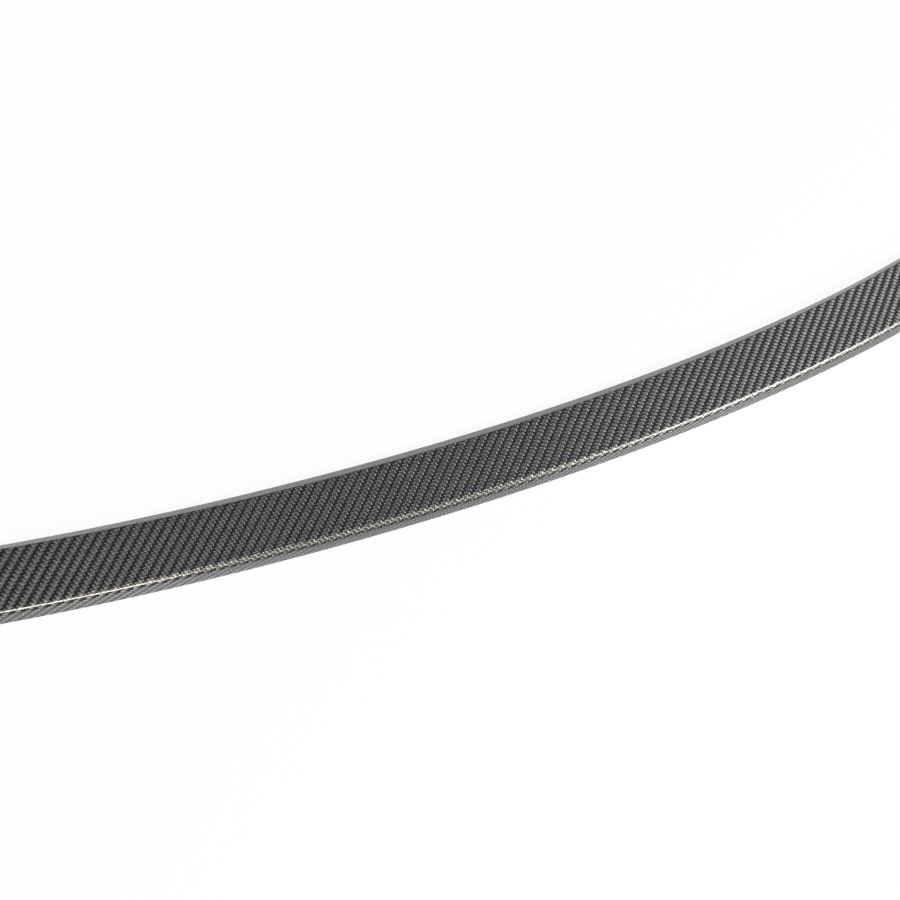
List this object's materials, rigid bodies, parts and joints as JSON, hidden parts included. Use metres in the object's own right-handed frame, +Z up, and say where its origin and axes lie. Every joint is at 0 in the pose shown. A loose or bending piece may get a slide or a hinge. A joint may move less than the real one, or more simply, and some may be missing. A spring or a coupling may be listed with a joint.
{
  "type": "car rear lip spoiler",
  "caption": "Slim bowed carbon-fibre lip spoiler for the rear edge of a car's boot lid, one thin moulded shell with tapered tips and flat bonding lands underneath.",
  "frame": {"origin": "middle of the part's box, on the plane of the bonding lands", "axes": "+X across the car along the lip, +Y towards the front of the car, +Z up off the boot lid"},
  "size_m": [1.1456, 0.1186, 0.0149],
  "materials": {
    "carbon_laminate": "twill carbon cloth under a gloss clear coat, satin resin underneath"
  },
  "bodies": {
    "root": {"spoiler_lip": "carbon_laminate"}
  },
  "joints": []
}
